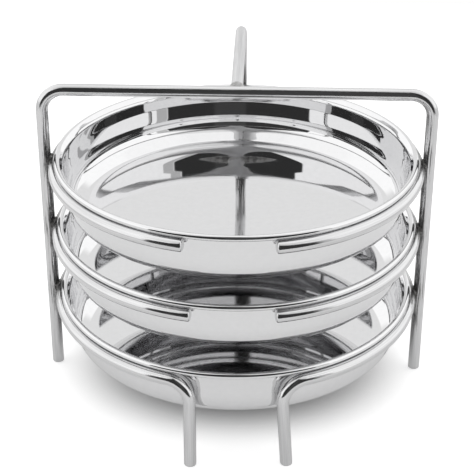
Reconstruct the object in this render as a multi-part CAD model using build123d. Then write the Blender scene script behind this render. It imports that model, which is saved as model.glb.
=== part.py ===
from build123d import *
import os
from math import asin, atan2, cos, degrees, hypot, radians, sin, sqrt

# A stand of three lift-out steaming dishes, in millimetres. The feet stand on z = 0, the front faces -Y.

# Pressed dish: a rolled rim on a flared lip, a nearly upright wall that leans in more and more, and a slope
# down to the flat base. Each stretch has its height and how far it leans in, the bends are between them.
dish_diameter = 180.0
sheet = 0.6
rim_roll_diameter = 3.0
rim_roll_turn = 270.0
lip_height = 3.1
lip_lean = 4.2
upper_wall_height = 6.0
upper_wall_lean = 0.45
wall_height = 9.1
wall_lean = 0.25
lower_wall_height = 6.1
lower_wall_lean = 1.8
slope_height = 4.8
slope_lean = 8.5
lip_bend = 3.8
upper_wall_bend = 28.0
lower_wall_bend = 22.0
slope_bend = 7.8
base_bend = 10.1

# Round wire of the stand
wire_diameter = 6.0
wire_bend_radius = 11.0
wire_end_chamfer = 0.4
ring_end_length = 1.0

# How the dishes sit in the stand
rim_overhang = 1.5
seat_gap = 0.3
dish_gap = 6.85
floor_gap = 23.15
hand_gap = 28.45
middle_ring_raise = 0.6

# Welds: how far two crossing wires are pressed into each other, and how far the metal stands out past them
weld_set = 0.5
ring_weld_stand_out = 0.3
handle_weld_stand_out = 0.9
handle_weld_inset = 0.8

# Half widths of the front gaps, and the front legs, measured sideways from the middle
top_gap_left = 21.2
top_gap_right = 20.3
middle_gap_left = 18.2
middle_gap_right = 20.5
front_leg_left = 19.2
front_leg_right = 24.7
front_leg_left_splay = 0.0
front_leg_right_splay = 4.1

# Worked out from the sizes above
wire_radius = wire_diameter / 2
dish_radius = dish_diameter / 2
rim_roll_radius = rim_roll_diameter / 2
wall_fall = lip_height + upper_wall_height + wall_height + lower_wall_height
dish_height = wall_fall + slope_height + sheet / 2
ring_radius = dish_radius - rim_roll_radius + rim_overhang
leg_reach = ring_radius + wire_diameter - weld_set
weld_reach = (ring_radius + leg_reach) / 2
ring_weld_radius = wire_radius + ring_weld_stand_out
handle_weld_radius = wire_radius + handle_weld_stand_out
rim_above_ring = sqrt((wire_radius + rim_roll_radius + seat_gap) ** 2 - rim_overhang ** 2)
level_pitch = dish_height + dish_gap
lowest_rim_height = floor_gap + dish_height - rim_roll_radius
level_names = ["bottom", "middle", "top"]
rim_heights = {name: lowest_rim_height + i * level_pitch for i, name in enumerate(level_names)}
rim_heights["middle"] += middle_ring_raise
ring_heights = {name: height - rim_above_ring for name, height in rim_heights.items()}
handle_height = rim_heights["top"] + rim_roll_radius + hand_gap + wire_radius

left, right, rear, down = Vector(-1, 0, 0), Vector(1, 0, 0), Vector(0, 1, 0), Vector(0, 0, -1)
front, up = -rear, -down


def straight_wire(start, heading, length):
    """Wire that runs straight from start."""
    section = Plane(origin=start, z_dir=heading) * Circle(wire_radius)
    return extrude(section, amount=length)


def bent_wire(start, heading, side, radius, turn):
    """Wire that sets out along heading and bends towards side by turn degrees."""
    section = Plane(origin=start, z_dir=heading) * Circle(wire_radius)
    return revolve(section, Axis(start + side * radius, heading.cross(side)), turn)


def after_bend(start, heading, side, radius, turn):
    """Where such a bend ends, and which way it then points."""
    angle = radians(turn)
    end = start + side * radius * (1 - cos(angle)) + heading * radius * sin(angle)
    return end, heading * cos(angle) + side * sin(angle)


def with_broken_ends(wire):
    """The same wire with the sharp edges of its cut ends taken off."""
    ends = wire.faces().filter_by(GeomType.PLANE)
    return chamfer(ends.edges(), wire_end_chamfer)


def arch():
    """Left leg, carrying bar and right leg, bent from one wire."""
    leg_length = handle_height - wire_bend_radius
    wire = straight_wire(left * leg_reach, up, leg_length)
    wire += straight_wire(right * leg_reach, up, leg_length)
    bar_start = left * (leg_reach - wire_bend_radius) + up * handle_height
    wire += straight_wire(bar_start, right, 2 * (leg_reach - wire_bend_radius))
    for outward in (left, right):
        wire += bent_wire(outward * leg_reach + up * leg_length, up, -outward, wire_bend_radius, 90)
    return with_broken_ends(wire)


def rear_leg(carrying_bar):
    """Rear leg, bent forward at the top and fitted round the back of the carrying bar."""
    leg_length = handle_height - wire_bend_radius
    foot = rear * leg_reach
    wire = straight_wire(foot, up, leg_length)
    wire += bent_wire(foot + up * leg_length, up, front, wire_bend_radius, 90)
    bend_end, heading = after_bend(foot + up * leg_length, up, front, wire_bend_radius, 90)
    wire += straight_wire(bend_end, heading, bend_end.Y)
    return with_broken_ends(wire) - carrying_bar


def ring_place(sideways, height):
    """Point on the middle of a ring's wire near the front, and the way along the wire to the gap."""
    angle = asin(sideways / ring_radius)
    point = Vector(ring_radius * sin(angle), -ring_radius * cos(angle), height)
    return point, Vector(-cos(angle), -sin(angle), 0) * (1 if sideways > 0 else -1)


def open_ring(gap_left, gap_right, height):
    """Ring of wire round the dishes' axis, open at the front between the two half widths."""
    start, towards_gap = ring_place(gap_right, height)
    turn = 360 - degrees(asin(gap_left / ring_radius) + asin(gap_right / ring_radius))
    inward = (Vector(0, 0, height) - start).normalized()
    return bent_wire(start, -towards_gap, inward, ring_radius, turn)


def cut_ring(gap_left, gap_right, height):
    """Open ring whose last bit of wire at each end is straight and cut square."""
    arc_left, arc_right = gap_left + ring_end_length, gap_right + ring_end_length
    wire = open_ring(arc_left, arc_right, height)
    for sideways in (-arc_left, arc_right):
        end, heading = ring_place(sideways, height)
        wire += straight_wire(end, heading, ring_end_length)
    return with_broken_ends(wire)


def leg_bend_place(leg_sideways):
    """How far to the side a ring has to end for its bent-down leg to stand at leg_sideways."""
    bend_start = asin(leg_sideways / hypot(ring_radius, wire_bend_radius))
    bend_start += atan2(wire_bend_radius, ring_radius)
    return ring_radius * sin(bend_start)


def front_leg(sideways, splay, height):
    """One end of the bottom ring, bent down and a little past upright, and cut level at the floor."""
    start, heading = ring_place(sideways, height)
    bend = bent_wire(start, heading, down, wire_bend_radius, 90 + splay)
    end, heading = after_bend(start, heading, down, wire_bend_radius, 90 + splay)
    leg = bend + straight_wire(end, heading, (end.Z + wire_radius) / -heading.Z)
    return split(leg, bisect_by=Plane.XY, keep=Keep.TOP)


def bottom_ring():
    """Lowest ring, which carries on into the two front legs."""
    height = ring_heights["bottom"]
    left_end, right_end = leg_bend_place(front_leg_left), leg_bend_place(front_leg_right)
    wire = open_ring(left_end, right_end, height)
    wire += front_leg(-left_end, front_leg_left_splay, height)
    wire += front_leg(right_end, front_leg_right_splay, height)
    return with_broken_ends(wire)


def weld_metal(place, across, radius, wire, other_wire):
    """Metal run into the corners where two wires meet, across pointing from one to the other."""
    metal = Plane(origin=place, z_dir=across) * Sphere(radius)
    return (metal - other_wire - wire).solid()


def ring_welds(ring, height, the_arch, the_rear_leg):
    """The three welds of one ring, on the left, right and rear legs."""
    welds = []
    for way, leg in ((left, the_arch), (right, the_arch), (rear, the_rear_leg)):
        place = way * weld_reach + up * height
        welds.append(weld_metal(place, way, ring_weld_radius, leg, ring))
    return Compound(welds)


def handle_weld(the_arch, the_rear_leg):
    """The weld round the rear wire's end, behind the carrying bar."""
    place = rear * (wire_radius + handle_weld_inset) + up * handle_height
    return weld_metal(place, rear, handle_weld_radius, the_arch, the_rear_leg)


def press_line(roll_middle, roll):
    """The sheet's middle line from the base's middle out to where it meets the rim's roll."""
    lip_foot = Vector(dish_radius - lip_lean, rim_roll_radius - lip_height)
    wall_top = lip_foot - Vector(upper_wall_lean, upper_wall_height)
    wall_foot = wall_top - Vector(wall_lean, wall_height)
    slope_top = wall_foot - Vector(lower_wall_lean, lower_wall_height)
    base_corner = slope_top - Vector(slope_lean, slope_height)
    base_middle = Vector(0, base_corner.Y)
    to_roll = roll_middle - lip_foot
    lip_heading = to_roll.normalized().rotate(Axis.Z, degrees(asin(roll / to_roll.length)))
    lip_top = lip_foot + lip_heading * sqrt(to_roll.length ** 2 - roll ** 2)
    return FilletPolyline(
        base_middle, base_corner, slope_top, wall_foot, wall_top, lip_foot, lip_top,
        radius=[base_bend, slope_bend, lower_wall_bend, upper_wall_bend, lip_bend],
    )


def dish():
    """One dish about the Z axis, with the middle of its rolled rim at z = 0."""
    roll = rim_roll_radius - sheet / 2
    press = press_line(Vector(dish_radius - rim_roll_radius, 0), roll)
    rim = JernArc(start=press @ 1, tangent=press % 1, radius=roll, arc_size=-rim_roll_turn)
    section = trace(Curve() + [press, rim], line_width=sheet)
    return revolve(Plane.XZ * section, Axis.Z)


def build_parts():
    """Every piece of the stand, by name, with the dishes' axis at x = y = 0."""
    the_arch = arch()
    the_rear_leg = rear_leg(the_arch)
    uprights = the_arch + the_rear_leg
    rings = {
        "bottom": bottom_ring() - uprights,
        "middle": cut_ring(middle_gap_left, middle_gap_right, ring_heights["middle"]) - uprights,
        "top": cut_ring(top_gap_left, top_gap_right, ring_heights["top"]) - uprights,
    }
    parts = {"arch": the_arch, "rear_leg": the_rear_leg}
    for name, ring in rings.items():
        parts[f"{name}_ring"] = ring
        parts[f"{name}_ring_welds"] = ring_welds(ring, ring_heights[name], the_arch, the_rear_leg)
        parts[f"{name}_dish"] = Pos(0, 0, rim_heights[name]) * dish()
    parts["handle_weld"] = handle_weld(the_arch, the_rear_leg)
    return parts


parts = build_parts()
boxes = [shape.bounding_box() for shape in parts.values()]
axis_y = -(min(box.min.Y for box in boxes) + max(box.max.Y for box in boxes)) / 2
os.makedirs("parts", exist_ok=True)
for name, shape in parts.items():
    export_step(Pos(0, axis_y, 0) * shape, f"parts/{name}.step")
print(f"dishes' axis at y = {axis_y:.3f}, legs {leg_reach:.3f} from it, handle at z = {handle_height:.3f}")
print("rims", {name: round(height, 3) for name, height in rim_heights.items()})
print("rings", {name: round(height, 3) for name, height in ring_heights.items()})
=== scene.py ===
from math import asin, atan2, cos, degrees, hypot, pi, radians, sin, sqrt, tan

import bmesh
import bpy
from mathutils import Matrix, Vector, noise


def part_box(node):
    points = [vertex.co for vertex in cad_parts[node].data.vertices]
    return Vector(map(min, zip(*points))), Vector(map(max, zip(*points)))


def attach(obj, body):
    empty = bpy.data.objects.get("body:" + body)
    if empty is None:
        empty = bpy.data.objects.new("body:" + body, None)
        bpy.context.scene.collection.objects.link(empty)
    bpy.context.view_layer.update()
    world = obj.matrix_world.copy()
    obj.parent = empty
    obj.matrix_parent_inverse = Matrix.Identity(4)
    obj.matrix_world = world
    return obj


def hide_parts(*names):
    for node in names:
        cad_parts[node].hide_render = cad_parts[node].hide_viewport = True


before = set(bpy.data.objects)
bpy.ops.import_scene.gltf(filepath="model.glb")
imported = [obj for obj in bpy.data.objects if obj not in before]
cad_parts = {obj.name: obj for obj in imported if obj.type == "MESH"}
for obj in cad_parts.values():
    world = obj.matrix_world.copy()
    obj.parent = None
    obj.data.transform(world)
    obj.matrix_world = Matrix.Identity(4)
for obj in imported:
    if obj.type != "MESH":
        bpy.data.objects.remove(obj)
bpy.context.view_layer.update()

# Sizes in millimetres. A finished mesh is brought to metres as the last step.
METRE = 0.001

# Pressed dish: rolled rim on a flared lip, nearly upright wall, slope and flat base
SHEET = 0.6
DISH_RADIUS = 90.0
RIM_ROLL_RADIUS = 1.5
RIM_ROLL_TURN = 270.0
LIP_HEIGHT, LIP_LEAN = 3.1, 4.2
UPPER_WALL_HEIGHT, UPPER_WALL_LEAN = 6.0, 0.45
WALL_HEIGHT, WALL_LEAN = 9.1, 0.25
LOWER_WALL_HEIGHT, LOWER_WALL_LEAN = 6.1, 1.8
SLOPE_HEIGHT, SLOPE_LEAN = 4.8, 8.5
BASE_BEND, SLOPE_BEND, LOWER_WALL_BEND, UPPER_WALL_BEND, LIP_BEND = 10.1, 7.8, 22.0, 28.0, 3.8

# Round wire of the stand
WIRE_RADIUS = 3.0
WIRE_BEND_RADIUS = 11.0
FOOT_ROUNDING = 0.45
RING_END_ROUNDING = 1.0
RING_END_LENGTH = 1.0

# How the dishes sit in the stand, and the welds that hold it together
RIM_OVERHANG = 1.5
SEAT_GAP = 0.3
WELD_SET = 0.5
RING_WELD_RADIUS = WIRE_RADIUS + 0.3
HANDLE_WELD_RADIUS = WIRE_RADIUS + 0.9
HANDLE_WELD_INSET = 0.8
WELD_DENT, DENT_CLOSENESS = 0.25, 0.9

# Half widths of the front gaps, and the front legs, measured sideways from the middle
TOP_GAP_LEFT, TOP_GAP_RIGHT = 21.2, 20.3
MIDDLE_GAP_LEFT, MIDDLE_GAP_RIGHT = 18.2, 20.5
FRONT_LEG_LEFT, FRONT_LEG_RIGHT = 19.2, 24.7
FRONT_LEG_LEFT_SPLAY, FRONT_LEG_RIGHT_SPLAY = 0.0, 4.1

RING_RADIUS = DISH_RADIUS - RIM_ROLL_RADIUS + RIM_OVERHANG
LEG_REACH = RING_RADIUS + 2 * WIRE_RADIUS - WELD_SET
WELD_REACH = (RING_RADIUS + LEG_REACH) / 2
RIM_ABOVE_RING = sqrt((WIRE_RADIUS + RIM_ROLL_RADIUS + SEAT_GAP) ** 2 - RIM_OVERHANG ** 2)

LEVELS = ("bottom", "middle", "top")
LEFT, RIGHT, REAR, DOWN = Vector((-1, 0, 0)), Vector((1, 0, 0)), Vector((0, 1, 0)), Vector((0, 0, -1))
FRONT, UP = -REAR, -DOWN

low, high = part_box("top_dish")
AXIS = Vector((0, (low.y + high.y) / 2 / METRE, 0))
RIM_HEIGHT = {name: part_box(name + "_dish")[1].z / METRE - RIM_ROLL_RADIUS for name in LEVELS}
RING_HEIGHT = {name: height - RIM_ABOVE_RING for name, height in RIM_HEIGHT.items()}
HANDLE_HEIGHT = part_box("arch")[1].z / METRE - WIRE_RADIUS

RING_WELDS = {
    name: [way * WELD_REACH + UP * RING_HEIGHT[name] for way in (LEFT, RIGHT, REAR)] for name in LEVELS
}
HANDLE_WELD = REAR * (WIRE_RADIUS + HANDLE_WELD_INSET) + UP * HANDLE_HEIGHT

# How much a millimetre holds a weld's heat back, along the wire and through to its far side
RING_WELD_HEAT = (0.3, 2.0)
HANDLE_WELD_HEAT = (0.15, 6.0)
HEATED = [(place, *RING_WELD_HEAT) for places in RING_WELDS.values() for place in places]
HEATED.append((HANDLE_WELD, *HANDLE_WELD_HEAT))

# How finely the meshes are drawn, in sides, steps, degrees and millimetres
WIRE_SIDES = 32
WIRE_STEP = 4.0
BEND_STEP = 5.0
RING_STEP = 2.5
ROUNDING_STEPS = 5
BEAD_SPLITS = 4
SHEET_BEND_STEPS = 12
ROLL_STEPS = 36
DISH_STEPS = 180
SUPPORT = 0.5
SAME_POINT = 0.001


# Drawing wire and pressing sheet


def about(centre, axis, angle):
    """The turn by an angle in degrees about an axis through a point."""
    turn = Matrix.Rotation(radians(angle), 4, axis)
    return Matrix.Translation(centre) @ turn @ Matrix.Translation(-centre)


def drawn_on(bm, loop, move, length):
    """The open end of a wire, drawn on by one move of that length."""
    along = bm.verts.layers.float_vector["wire_place"]
    made = bmesh.ops.extrude_edge_only(bm, edges=loop)["geom"]
    verts = [v for v in made if isinstance(v, bmesh.types.BMVert)]
    bmesh.ops.transform(bm, matrix=move, verts=verts)
    for vert in verts:
        vert[along].z += length
    fresh = set(verts)
    return [e for e in made if isinstance(e, bmesh.types.BMEdge) and fresh.issuperset(e.verts)]


def run(bm, loop, heading, length):
    """Straight wire, with a short step at each end."""
    steps = max(1, round((length - 2 * SUPPORT) / WIRE_STEP))
    middle_step = (length - 2 * SUPPORT) / steps
    for step in [SUPPORT] + [middle_step] * steps + [SUPPORT]:
        loop = drawn_on(bm, loop, Matrix.Translation(heading * step), step)
    return loop


def bend(bm, loop, centre, axis, radius, turn, largest=BEND_STEP):
    """Wire bent by turn degrees about an axis through centre."""
    steps = max(1, round(abs(turn) / largest))
    for _ in range(steps):
        loop = drawn_on(bm, loop, about(centre, axis, turn / steps), radius * radians(abs(turn)) / steps)
    return loop


def wire_section(bm, place, heading):
    """The round section that a wire starts from, square to its heading."""
    turn = heading.to_track_quat("Z", "Y").to_matrix().to_4x4()
    made = bmesh.ops.create_circle(bm, segments=WIRE_SIDES, radius=WIRE_RADIUS, cap_ends=False)
    along = bm.verts.layers.float_vector["wire_place"]
    for vert in made["verts"]:
        vert[along] = vert.co
    bmesh.ops.transform(bm, matrix=Matrix.Translation(place) @ turn, verts=made["verts"])
    return list({edge for vert in made["verts"] for edge in vert.link_edges})


def new_wire():
    """A mesh that keeps where each spot is on its wire, and how cool it stayed in the welding."""
    bm = bmesh.new()
    bm.verts.layers.float_vector.new("wire_place")
    bm.verts.layers.float.new("coolness")
    return bm


def closed_ends(bm, rounding):
    """Closes a wire's cut ends and rounds their edges."""
    ends = bmesh.ops.holes_fill(bm, edges=[e for e in bm.edges if e.is_boundary], sides=0)["faces"]
    rims = list({edge for face in ends for edge in face.edges})
    bmesh.ops.bevel(bm, geom=rims, offset=rounding, segments=ROUNDING_STEPS, profile=0.5,
                    affect="EDGES", material=-1)


def heat_held_back(vert, place, along, through):
    """How much of a weld's heat is held back on its way to a spot."""
    to_weld = place - vert.co
    return along * to_weld.length + through * max(0, -vert.normal.dot(to_weld))


def heated_by_welds(bm):
    """Keeps how cool each spot of a wire stayed, by the weld that heated it most."""
    coolness = bm.verts.layers.float["coolness"]
    bmesh.ops.recalc_face_normals(bm, faces=bm.faces)
    bm.normal_update()
    for vert in bm.verts:
        vert[coolness] = min(heat_held_back(vert, *weld) for weld in HEATED)


def finished(bm, name, body, slot, material, *nodes):
    """Makes a mesh the visible piece that stands for some CAD nodes."""
    bmesh.ops.remove_doubles(bm, verts=bm.verts, dist=SAME_POINT)
    bmesh.ops.recalc_face_normals(bm, faces=bm.faces)
    bmesh.ops.translate(bm, vec=AXIS, verts=bm.verts)
    bmesh.ops.scale(bm, vec=(METRE,) * 3, verts=bm.verts)
    for face in bm.faces:
        face.smooth = True
    mesh = bpy.data.meshes.new(name)
    bm.to_mesh(mesh)
    bm.free()
    piece = bpy.data.objects.new(name, mesh)
    bpy.context.scene.collection.objects.link(piece)
    mesh.materials.append(material)
    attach(piece, body)
    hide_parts(*nodes)
    return piece


def finished_wire(bm, name, material, rounding):
    closed_ends(bm, rounding)
    heated_by_welds(bm)
    return finished(bm, "stand_" + name, "stand", "wire_steel", material, name)


# Finishes: mirror-polished sheet, drawn wire and burnt weld metal

# A thousandth of a millimetre, in metres
MICRON = 1e-6

# The coolness where a burnt tint and smoke start and are full, and how far noise pushes them out
TINT_START, TINT_FULL, TINT_PUSH = 3.0, 0.5, 5.0
SMOKE_START, SMOKE_FULL, SMOKE_PUSH, SMOKE_STRENGTH = 3.0, -3.0, 14.0, 0.85

# Where the polish starts to wear towards a dish's edge, and where it is most worn
WEAR_START, WEAR_FULL = DISH_RADIUS - 4.0, DISH_RADIUS - 0.5

# How noise is squeezed across and along a wire, for long streaks and for soft waves
STREAK_SQUEEZE = (1, 1, 0.03)
SWELL_SQUEEZE = (0.12, 0.12, 0.05)


def node(tree, kind, inputs=None, **settings):
    """A shader node with its settings, and its inputs set or linked."""
    made = tree.nodes.new("ShaderNode" + kind)
    for name, value in settings.items():
        setattr(made, name, value)
    for name, value in (inputs or {}).items():
        if isinstance(value, bpy.types.NodeSocket):
            tree.links.new(value, made.inputs[name])
        else:
            made.inputs[name].default_value = value
    return made


def maths(tree, operation, *values):
    return node(tree, "Math", dict(enumerate(values)), operation=operation).outputs[0]


def between(tree, value, start, end, low=0.0, high=1.0):
    """Eases from low to high as a value goes from start to end."""
    inputs = {"Value": value, "From Min": start, "From Max": end, "To Min": low, "To Max": high}
    return node(tree, "MapRange", inputs, interpolation_type="SMOOTHSTEP").outputs["Result"]


def grain(tree, place, scale, detail):
    """Noise that is mostly 0 to 1, with that many grains to one unit of place."""
    inputs = {"Vector": place, "Scale": scale, "Detail": detail}
    made = node(tree, "TexNoise", inputs).outputs[0]
    return between(tree, made, 0.25, 0.75)


def tones(tree, value, *stops):
    """A colour that runs through the given tones, each a place from 0 to 1 and a colour."""
    made = node(tree, "ValToRGB", {"Fac": value})
    marks = made.color_ramp.elements
    while len(marks) < len(stops):
        marks.new(1)
    for mark, (place, colour) in zip(marks, stops):
        mark.position = place
        mark.color = (*colour, 1)
    return made.outputs["Color"]


def tinted(tree, amount, plain, tint):
    made = node(tree, "Mix", {"Factor": amount, "A": plain, "B": tint}, data_type="RGBA")
    return made.outputs["Result"]


def relief(tree, *layers):
    """Bumps on bumps, each a height from 0 to 1 and its size in thousandths of a millimetre."""
    normal = None
    for height, size in layers:
        inputs = {"Height": height, "Distance": size * MICRON}
        if normal:
            inputs["Normal"] = normal
        normal = node(tree, "Bump", inputs).outputs["Normal"]
    return normal


def steel(name):
    material = bpy.data.materials.new(name)
    material.use_nodes = True
    tree = material.node_tree
    shader = tree.nodes["Principled BSDF"]
    shader.inputs["Metallic"].default_value = 1
    return material, tree, shader


def put_on(tree, shader, colour, roughness, normal):
    for socket, value in (("Base Color", colour), ("Roughness", roughness), ("Normal", normal)):
        tree.links.new(value, shader.inputs[socket])


def squeezed(tree, place, by):
    return node(tree, "VectorMath", {0: place, 1: by}, operation="MULTIPLY").outputs["Vector"]


def sheet_place(tree):
    """The place from the dishes' axis, its distance out and height as one vector, and its distance out."""
    coordinates = node(tree, "TexCoord").outputs["Object"]
    inputs = {"Vector": coordinates, "Location": -AXIS, "Scale": (1 / METRE,) * 3}
    place = node(tree, "Mapping", inputs).outputs["Vector"]
    flat = squeezed(tree, place, (1, 1, 0))
    out = node(tree, "VectorMath", {0: flat}, operation="LENGTH").outputs["Value"]
    height = node(tree, "SeparateXYZ", {"Vector": place}).outputs["Z"]
    section = node(tree, "CombineXYZ", {"X": out, "Y": height}).outputs["Vector"]
    return place, section, out


def polished_sheet():
    """Mirror polish with the fine rings of the lathe, rubbed patches, and worn a little at the rim."""
    material, tree, shader = steel("dish_steel")
    place, section, out = sheet_place(tree)
    rings = grain(tree, section, scale=2.2, detail=3)
    rubbed = grain(tree, place, scale=0.05, detail=3)
    cloudy = grain(tree, place, scale=0.35, detail=4)
    worn = between(tree, out, WEAR_START, WEAR_FULL)
    shade = maths(tree, "MULTIPLY_ADD", rings, 0.35, maths(tree, "MULTIPLY", cloudy, 0.65))
    colour = tones(tree, shade, (0.0, (0.775, 0.775, 0.78)), (1.0, (0.805, 0.805, 0.81)))
    haze = maths(tree, "MULTIPLY_ADD", maths(tree, "MULTIPLY", rings, rubbed), 0.03, 0.025)
    wear = maths(tree, "MULTIPLY_ADD", cloudy, 0.03, 0.01)
    roughness = maths(tree, "MULTIPLY_ADD", worn, wear, haze)
    waves = grain(tree, place, scale=0.028, detail=1)
    put_on(tree, shader, colour, roughness, relief(tree, (waves, 12), (rings, 0.2)))
    return material


def wire_place(tree):
    """Millimetres across and along a wire, and how cool the wire stayed there in the welding."""
    place = node(tree, "Attribute", attribute_name="wire_place").outputs["Vector"]
    coolness = node(tree, "Attribute", attribute_name="coolness").outputs["Fac"]
    return place, coolness


def drawn_wire(name, dullness):
    """Drawn and buffed wire, with long streaks, soft waves, and burnt where it was welded."""
    material, tree, shader = steel(name)
    place, coolness = wire_place(tree)
    long_way = squeezed(tree, place, STREAK_SQUEEZE)
    streaks = grain(tree, long_way, scale=1.6, detail=4)
    broad = grain(tree, long_way, scale=0.45, detail=2)
    patches = grain(tree, place, scale=0.12, detail=3)
    shade = maths(tree, "MULTIPLY_ADD", streaks, 0.5, maths(tree, "MULTIPLY", broad, 0.5))
    bare = tones(tree, shade, (0.0, (0.60, 0.60, 0.605)), (1.0, (0.79, 0.79, 0.795)))
    ragged = grain(tree, place, scale=0.55, detail=4)
    tint_reach = maths(tree, "MULTIPLY_ADD", ragged, -TINT_PUSH, coolness)
    tinted_by_heat = between(tree, tint_reach, TINT_START, TINT_FULL)
    tint = tones(tree, ragged, (0.0, (0.045, 0.044, 0.043)), (1.0, (0.28, 0.277, 0.272)))
    smoke_reach = maths(tree, "MULTIPLY_ADD", streaks, -SMOKE_PUSH, coolness)
    smoke = maths(tree, "MULTIPLY", between(tree, smoke_reach, SMOKE_START, SMOKE_FULL), SMOKE_STRENGTH)
    burnt = maths(tree, "MAXIMUM", tinted_by_heat, smoke)
    colour = tinted(tree, burnt, bare, tint)
    haze = maths(tree, "MULTIPLY_ADD", maths(tree, "MULTIPLY", streaks, patches), 0.10, dullness)
    roughness = maths(tree, "MULTIPLY_ADD", burnt, 0.3, haze)
    waves = grain(tree, squeezed(tree, place, SWELL_SQUEEZE), scale=1.0, detail=1)
    pits = maths(tree, "MULTIPLY", burnt, ragged)
    normal = relief(tree, (waves, 60), (streaks, 1.5), (pits, 60))
    put_on(tree, shader, colour, roughness, normal)
    return material


def burnt_weld(name, dark, middling, bright):
    """Lumpy weld metal, mostly dark, with a few bright spots."""
    material, tree, shader = steel(name)
    coordinates = node(tree, "TexCoord").outputs["Object"]
    place = node(tree, "Mapping", {"Vector": coordinates, "Scale": (1 / METRE,) * 3}).outputs["Vector"]
    lumps = grain(tree, place, scale=0.7, detail=3)
    crust = grain(tree, place, scale=2.5, detail=4)
    shade = maths(tree, "MULTIPLY_ADD", lumps, 0.6, maths(tree, "MULTIPLY", crust, 0.4))
    colour = tones(tree, shade, (0.0, dark), (0.55, middling), (1.0, bright))
    roughness = maths(tree, "MULTIPLY_ADD", crust, 0.3, 0.25)
    put_on(tree, shader, colour, roughness, relief(tree, (lumps, 400), (crust, 60)))
    return material


dish_steel = polished_sheet()
wire_steel = drawn_wire("wire_steel", dullness=0.11)
dull_wire_steel = drawn_wire("dull_wire_steel", dullness=0.5)
weld_steel = burnt_weld("weld_steel", (0.035, 0.034, 0.033), (0.15, 0.147, 0.143), (0.48, 0.475, 0.47))
clean_weld_steel = burnt_weld("clean_weld_steel", (0.3, 0.297, 0.293), (0.5, 0.497, 0.493), (0.68,) * 3)


# Stand


def arch():
    """Left leg, carrying bar and right leg, bent from one wire."""
    bm = new_wire()
    leg = HANDLE_HEIGHT - WIRE_BEND_RADIUS
    loop = wire_section(bm, LEFT * LEG_REACH, UP)
    loop = run(bm, loop, UP, leg)
    centre = LEFT * (LEG_REACH - WIRE_BEND_RADIUS) + UP * leg
    loop = bend(bm, loop, centre, REAR, WIRE_BEND_RADIUS, 90)
    loop = run(bm, loop, RIGHT, 2 * (LEG_REACH - WIRE_BEND_RADIUS))
    centre = RIGHT * (LEG_REACH - WIRE_BEND_RADIUS) + UP * leg
    loop = bend(bm, loop, centre, REAR, WIRE_BEND_RADIUS, 90)
    run(bm, loop, DOWN, leg)
    return finished_wire(bm, "arch", wire_steel, FOOT_ROUNDING)


def rear_leg():
    """Rear leg, bent forward at the top, with its end inside the carrying bar."""
    bm = new_wire()
    leg = HANDLE_HEIGHT - WIRE_BEND_RADIUS
    loop = wire_section(bm, REAR * LEG_REACH, UP)
    loop = run(bm, loop, UP, leg)
    centre = REAR * (LEG_REACH - WIRE_BEND_RADIUS) + UP * leg
    loop = bend(bm, loop, centre, RIGHT, WIRE_BEND_RADIUS, 90)
    run(bm, loop, FRONT, LEG_REACH - WIRE_BEND_RADIUS - WIRE_RADIUS / 2)
    return finished_wire(bm, "rear_leg", dull_wire_steel, FOOT_ROUNDING)


def ring_place(sideways, height):
    """A point on a ring's wire near the front, and the way along the wire to the gap."""
    angle = asin(sideways / RING_RADIUS)
    way = 1 if sideways > 0 else -1
    point = Vector((RING_RADIUS * sin(angle), -RING_RADIUS * cos(angle), height))
    return point, Vector((-cos(angle), -sin(angle), 0)) * way


def ring_turn(gap_left, gap_right):
    return 360 - degrees(asin(gap_left / RING_RADIUS) + asin(gap_right / RING_RADIUS))


def open_ring(level, gap_left, gap_right):
    """Ring round the dishes' axis, whose last bit of wire at each end is straight."""
    bm = new_wire()
    height = RING_HEIGHT[level]
    arc_left, arc_right = gap_left + RING_END_LENGTH, gap_right + RING_END_LENGTH
    start, to_gap = ring_place(arc_right, height)
    loop = wire_section(bm, start + to_gap * RING_END_LENGTH, -to_gap)
    loop = drawn_on(bm, loop, Matrix.Translation(-to_gap * RING_END_LENGTH), RING_END_LENGTH)
    loop = bend(bm, loop, UP * height, UP, RING_RADIUS, ring_turn(arc_left, arc_right), RING_STEP)
    to_gap = ring_place(-arc_left, height)[1]
    drawn_on(bm, loop, Matrix.Translation(to_gap * RING_END_LENGTH), RING_END_LENGTH)
    return finished_wire(bm, level + "_ring", wire_steel, RING_END_ROUNDING)


def leg_bend_place(leg_sideways):
    """How far to the side a ring ends for its bent-down leg to stand at leg_sideways."""
    bend_start = asin(leg_sideways / hypot(RING_RADIUS, WIRE_BEND_RADIUS))
    return RING_RADIUS * sin(bend_start + atan2(WIRE_BEND_RADIUS, RING_RADIUS))


def bottom_ring():
    """Lowest ring, whose ends bend down and are cut level at the floor as the front legs."""
    bm = new_wire()
    height = RING_HEIGHT["bottom"]
    left_end, right_end = leg_bend_place(FRONT_LEG_LEFT), leg_bend_place(FRONT_LEG_RIGHT)
    start, right_way = ring_place(right_end, height)
    left_place, left_way = ring_place(-left_end, height)
    first = wire_section(bm, start, -right_way)
    loop = bend(bm, first, UP * height, UP, RING_RADIUS, ring_turn(left_end, right_end), RING_STEP)
    ends = (
        (loop, left_place, left_way, FRONT_LEG_LEFT_SPLAY),
        (first, start, right_way, FRONT_LEG_RIGHT_SPLAY),
    )
    for loop, place, way, splay in ends:
        axis = way.cross(DOWN)
        turn = 90 + splay
        loop = bend(bm, loop, place + DOWN * WIRE_BEND_RADIUS, axis, WIRE_BEND_RADIUS, turn)
        heading = Matrix.Rotation(radians(turn), 3, axis) @ way
        run(bm, loop, heading, height)
    everything = list(bm.verts) + list(bm.edges) + list(bm.faces)
    bmesh.ops.bisect_plane(bm, geom=everything, plane_co=(0, 0, 0), plane_no=DOWN, clear_outer=True)
    return finished_wire(bm, "bottom_ring", wire_steel, FOOT_ROUNDING)


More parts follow.
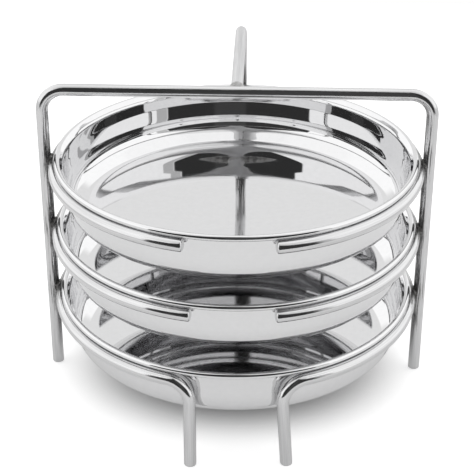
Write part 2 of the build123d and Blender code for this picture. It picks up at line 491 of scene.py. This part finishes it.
def weld_bead(bm, place, radius):
    """A lump of weld metal, dented here and there."""
    made = bmesh.ops.create_icosphere(bm, subdivisions=BEAD_SPLITS, radius=radius)
    for vert in made["verts"]:
        dent = max(0, noise.noise(vert.co * DENT_CLOSENESS + place))
        vert.co *= 1 - WELD_DENT * dent / radius
    bmesh.ops.translate(bm, vec=place, verts=made["verts"])


def weld_beads(name, places, radius, material):
    bm = bmesh.new()
    for place in places:
        weld_bead(bm, place, radius)
    return finished(bm, "beads_" + name, "stand", "weld_steel", material, name)


# Dishes


def pressed_line(bm, points, bends):
    """The sheet's line from the dish's middle outwards, with a round bend at each inner point."""
    line = [bm.verts.new((points[0].x, 0, points[0].y))]

    def step_on(move):
        made = bmesh.ops.extrude_vert_indiv(bm, verts=[line[-1]])["verts"]
        bmesh.ops.transform(bm, matrix=move, verts=made)
        line.append(made[0])

    used = 0
    for i in range(1, len(points)):
        here, there = points[i - 1], points[i]
        way = (there - here).normalized()
        heading = Vector((way.x, 0, way.y))
        length = (there - here).length - used
        bent = i < len(points) - 1
        if bent:
            radius = bends[i - 1]
            turn = way.angle_signed((points[i + 1] - there).normalized())
            used = radius * tan(abs(turn) / 2)
            length -= used
        support = min(SUPPORT, length / 3)
        for step in (support, length - 2 * support, support):
            step_on(Matrix.Translation(heading * step))
        if bent:
            side = REAR.cross(heading) * (1 if turn > 0 else -1)
            centre = line[-1].co + side * radius
            for _ in range(SHEET_BEND_STEPS):
                step_on(about(centre, REAR, degrees(turn) / SHEET_BEND_STEPS))
    return line[-1]


def lip_top(lip_foot, roll_middle, roll):
    """Where the lip meets the roll of the rim without a corner."""
    to_roll = roll_middle - lip_foot
    heading = Matrix.Rotation(asin(roll / to_roll.length), 2) @ to_roll.normalized()
    return lip_foot + heading * sqrt(to_roll.length ** 2 - roll ** 2)


def press_points(roll_middle, roll):
    """The corners of the sheet's middle line, from the base's middle out to the roll."""
    lip_foot = Vector((DISH_RADIUS - LIP_LEAN, RIM_ROLL_RADIUS - LIP_HEIGHT))
    wall_top = lip_foot - Vector((UPPER_WALL_LEAN, UPPER_WALL_HEIGHT))
    wall_foot = wall_top - Vector((WALL_LEAN, WALL_HEIGHT))
    slope_top = wall_foot - Vector((LOWER_WALL_LEAN, LOWER_WALL_HEIGHT))
    base_corner = slope_top - Vector((SLOPE_LEAN, SLOPE_HEIGHT))
    base_middle = Vector((0, base_corner.y))
    last = lip_top(lip_foot, roll_middle, roll)
    return [base_middle, base_corner, slope_top, wall_foot, wall_top, lip_foot, last]


def dish(level):
    bm = bmesh.new()
    roll = RIM_ROLL_RADIUS - SHEET / 2
    roll_middle = Vector((DISH_RADIUS - RIM_ROLL_RADIUS, 0))
    bends = [BASE_BEND, SLOPE_BEND, LOWER_WALL_BEND, UPPER_WALL_BEND, LIP_BEND]
    end = pressed_line(bm, press_points(roll_middle, roll), bends)
    move = about(Vector((roll_middle.x, 0, 0)), REAR, RIM_ROLL_TURN / ROLL_STEPS)
    for _ in range(ROLL_STEPS):
        made = bmesh.ops.extrude_vert_indiv(bm, verts=[end])["verts"]
        bmesh.ops.transform(bm, matrix=move, verts=made)
        end = made[0]
    line = list(bm.verts) + list(bm.edges)
    bmesh.ops.spin(bm, geom=line, cent=(0, 0, 0), axis=UP, angle=2 * pi, steps=DISH_STEPS, use_merge=True)
    bmesh.ops.translate(bm, vec=UP * RIM_HEIGHT[level], verts=bm.verts)
    name = level + "_dish"
    piece = finished(bm, "pressed_" + name, name, "dish_steel", dish_steel, name)
    wall = piece.modifiers.new("sheet", "SOLIDIFY")
    wall.thickness = SHEET * METRE
    wall.offset = 0
    return piece


arch()
rear_leg()
open_ring("top", TOP_GAP_LEFT, TOP_GAP_RIGHT)
open_ring("middle", MIDDLE_GAP_LEFT, MIDDLE_GAP_RIGHT)
bottom_ring()
for level in LEVELS:
    weld_beads(level + "_ring_welds", RING_WELDS[level], RING_WELD_RADIUS, weld_steel)
    dish(level)
weld_beads("handle_weld", [HANDLE_WELD], HANDLE_WELD_RADIUS, clean_weld_steel)


# Studio: a pale table in a white light tent that is open to a dark room in front. A light of 1 is the
# white of the backdrop.

# Table, in metres from the middle of the stand
TABLE_HALF = 0.5
TABLE_FRONT = -0.4
TABLE_GREY = 0.6

# The table's own white as the camera and the mirrors see it, and the share of it that is left under the
# stand, a painted shadow laid over the real one.
# The painted shadow's start and end are in millimetres to the rear. Sideways it is wider by the last
# number.
GLOW_SEEN, GLOW_MIRRORED = 0.76, 0.32
GLOW_IN_PAINTED_SHADOW = 0.02
PAINTED_SHADOW_START, PAINTED_SHADOW_END = 41, 80
PAINTED_SHADOW_WIDTH = 1.3

# The light of the tent's parts, and where the edge of each starts and ends, in degrees round from the front
# and up from level
SIDE_LIGHT = 1.2
BACK_LIGHT, BACK_EDGE = 0.9, (153, 157)
UPPER_LIGHT, UPPER_EDGE = 1.15, (48, 52)
TOP_LIGHT, TOP_EDGE = 1.1, (70, 74)
FRONT_CEILING_LIGHT, FRONT_CEILING_EDGE, FRONT_CEILING_END = 0.9, (43, 47), (72, 68)
FLOOR_LIGHT, FLOOR_EDGE = 0.78, (-2, 0)
BACKDROP_LIGHT = 1.0

# The opening's half width at two heights, its soft edges, the dark room in it and the seam to its right
OPENING_LOW, HALF_WIDTH_LOW = 25, 50.6
OPENING_HIGH, HALF_WIDTH_HIGH = 75, 7.3
OPENING_SIDE, OPENING_TOP = (1, -1), (76, 74)
DARK_ROOM_LIGHT = 0.04
TRIPOD_LIGHT, TRIPOD_LEFT, TRIPOD_RIGHT = 0.065, (-6, -4), (18, 16)
SEAM_LIGHT, SEAM_INSIDE, SEAM_OUTSIDE, SEAM_TOP = 0.6, (0, 1), (9, 8), (62, 58)

# Camera of the photograph, in millimetres and degrees
SENSOR_WIDTH, FOCAL_LENGTH = 36, 104.67
CAMERA_PLACE = Vector((16.9, -625.1, 410.4))
CAMERA_TARGET = Vector((0.5, -3.44, 76.9))
CAMERA_ROLL = 0.27


def table():
    """A white table that looks as bright as the backdrop, but for a painted shadow in its glow under the
    stand, laid over the real shadow that it catches.
    """
    bm = bmesh.new()
    bmesh.ops.create_grid(bm, x_segments=1, y_segments=1, size=TABLE_HALF)
    bmesh.ops.translate(bm, vec=(0, TABLE_FRONT + TABLE_HALF, 0), verts=bm.verts)
    mesh = bpy.data.meshes.new("table")
    bm.to_mesh(mesh)
    bm.free()
    top = bpy.data.objects.new("table", mesh)
    bpy.context.scene.collection.objects.link(top)
    material = bpy.data.materials.new("table_white")
    material.use_nodes = True
    tree = material.node_tree
    shader = tree.nodes["Principled BSDF"]
    shader.inputs["Base Color"].default_value = (TABLE_GREY, TABLE_GREY, TABLE_GREY, 1)
    shader.inputs["Roughness"].default_value = 1
    shader.inputs["Specular IOR Level"].default_value = 0
    coordinates = node(tree, "TexCoord").outputs["Object"]
    squeeze = (1 / METRE / PAINTED_SHADOW_WIDTH, 1 / METRE, 1)
    place = node(tree, "Mapping", {"Vector": coordinates, "Scale": squeeze}).outputs["Vector"]
    out = node(tree, "VectorMath", {0: place}, operation="LENGTH").outputs["Value"]
    paths = node(tree, "LightPath").outputs
    seen = maths(tree, "MULTIPLY", paths["Is Camera Ray"], GLOW_SEEN)
    seen = maths(tree, "MULTIPLY_ADD", paths["Is Glossy Ray"], GLOW_MIRRORED, seen)
    # Painted shadow: the table's glow is turned down under and near the stand.
    painted_shadow_share = between(tree, out, PAINTED_SHADOW_START, PAINTED_SHADOW_END, GLOW_IN_PAINTED_SHADOW, 1)
    glow = node(tree, "Emission", {"Strength": maths(tree, "MULTIPLY", seen, painted_shadow_share)})
    both = node(tree, "AddShader", {0: shader.outputs[0], 1: glow.outputs[0]})
    tree.links.new(both.outputs[0], tree.nodes["Material Output"].inputs["Surface"])
    mesh.materials.append(material)


def light_tent():
    """The tent as the light from each direction, with its opening and the dark room in front."""
    world = bpy.data.worlds.new("light_tent")
    bpy.context.scene.world = world
    world.use_nodes = True
    tree = world.node_tree
    heading = node(tree, "SeparateXYZ", {"Vector": node(tree, "TexCoord").outputs["Generated"]})
    from_front = maths(tree, "MULTIPLY", heading.outputs["Y"], -1)
    around = maths(tree, "ARCTAN2", heading.outputs["X"], from_front)
    aside = maths(tree, "ABSOLUTE", around)
    rise = maths(tree, "ARCSINE", heading.outputs["Z"])

    def edge(value, start, end, low=0.0, high=1.0):
        """Eases from low to high between two directions in degrees."""
        return between(tree, value, radians(start), radians(end), low, high)

    light = edge(aside, *BACK_EDGE, SIDE_LIGHT, BACK_LIGHT)
    light = edge(rise, *UPPER_EDGE, light, UPPER_LIGHT)
    light = edge(rise, *TOP_EDGE, light, TOP_LIGHT)
    in_front = edge(aside, *FRONT_CEILING_END)
    front_ceiling = maths(tree, "MULTIPLY", edge(rise, *FRONT_CEILING_EDGE), in_front)
    light = between(tree, front_ceiling, 0, 1, light, FRONT_CEILING_LIGHT)
    light = edge(rise, *FLOOR_EDGE, FLOOR_LIGHT, light)

    inputs = {"Value": rise, "From Min": radians(OPENING_LOW), "From Max": radians(OPENING_HIGH),
              "To Min": radians(HALF_WIDTH_LOW), "To Max": radians(HALF_WIDTH_HIGH)}
    half_width = node(tree, "MapRange", inputs).outputs["Result"]
    past_opening = maths(tree, "SUBTRACT", around, half_width)
    seam = maths(tree, "MULTIPLY", edge(past_opening, *SEAM_INSIDE), edge(past_opening, *SEAM_OUTSIDE))
    seam = maths(tree, "MULTIPLY", seam, edge(rise, *SEAM_TOP))
    light = between(tree, seam, 0, 1, light, SEAM_LIGHT)

    opening = edge(maths(tree, "SUBTRACT", aside, half_width), *OPENING_SIDE)
    opening = maths(tree, "MULTIPLY", opening, edge(rise, *OPENING_TOP))
    tripod = maths(tree, "MULTIPLY", edge(around, *TRIPOD_LEFT), edge(around, *TRIPOD_RIGHT))
    room = between(tree, tripod, 0, 1, DARK_ROOM_LIGHT, TRIPOD_LIGHT)
    light = between(tree, opening, 0, 1, light, room)

    seen = node(tree, "LightPath").outputs["Is Camera Ray"]
    light = between(tree, seen, 0, 1, light, BACKDROP_LIGHT)
    tree.links.new(light, tree.nodes["Background"].inputs["Color"])


def photograph_camera():
    data = bpy.data.cameras.new("camera")
    camera = bpy.data.objects.new("camera", data)
    bpy.context.scene.collection.objects.link(camera)
    data.sensor_width = SENSOR_WIDTH
    data.lens = FOCAL_LENGTH
    data.clip_start, data.clip_end = 0.01, 100
    place, target = CAMERA_PLACE * METRE, CAMERA_TARGET * METRE
    turn = (target - place).to_track_quat("-Z", "Y").to_matrix().to_4x4()
    roll = Matrix.Rotation(radians(CAMERA_ROLL), 4, "Z")
    camera.matrix_world = Matrix.Translation(place) @ turn @ roll
    bpy.context.scene.camera = camera


table()
light_tent()
photograph_camera()
bpy.context.scene.view_settings.view_transform = "Standard"

# Light goes back and forth many times between the stacked mirrors
bpy.context.scene.cycles.glossy_bounces = 12
bpy.context.scene.cycles.max_bounces = 16
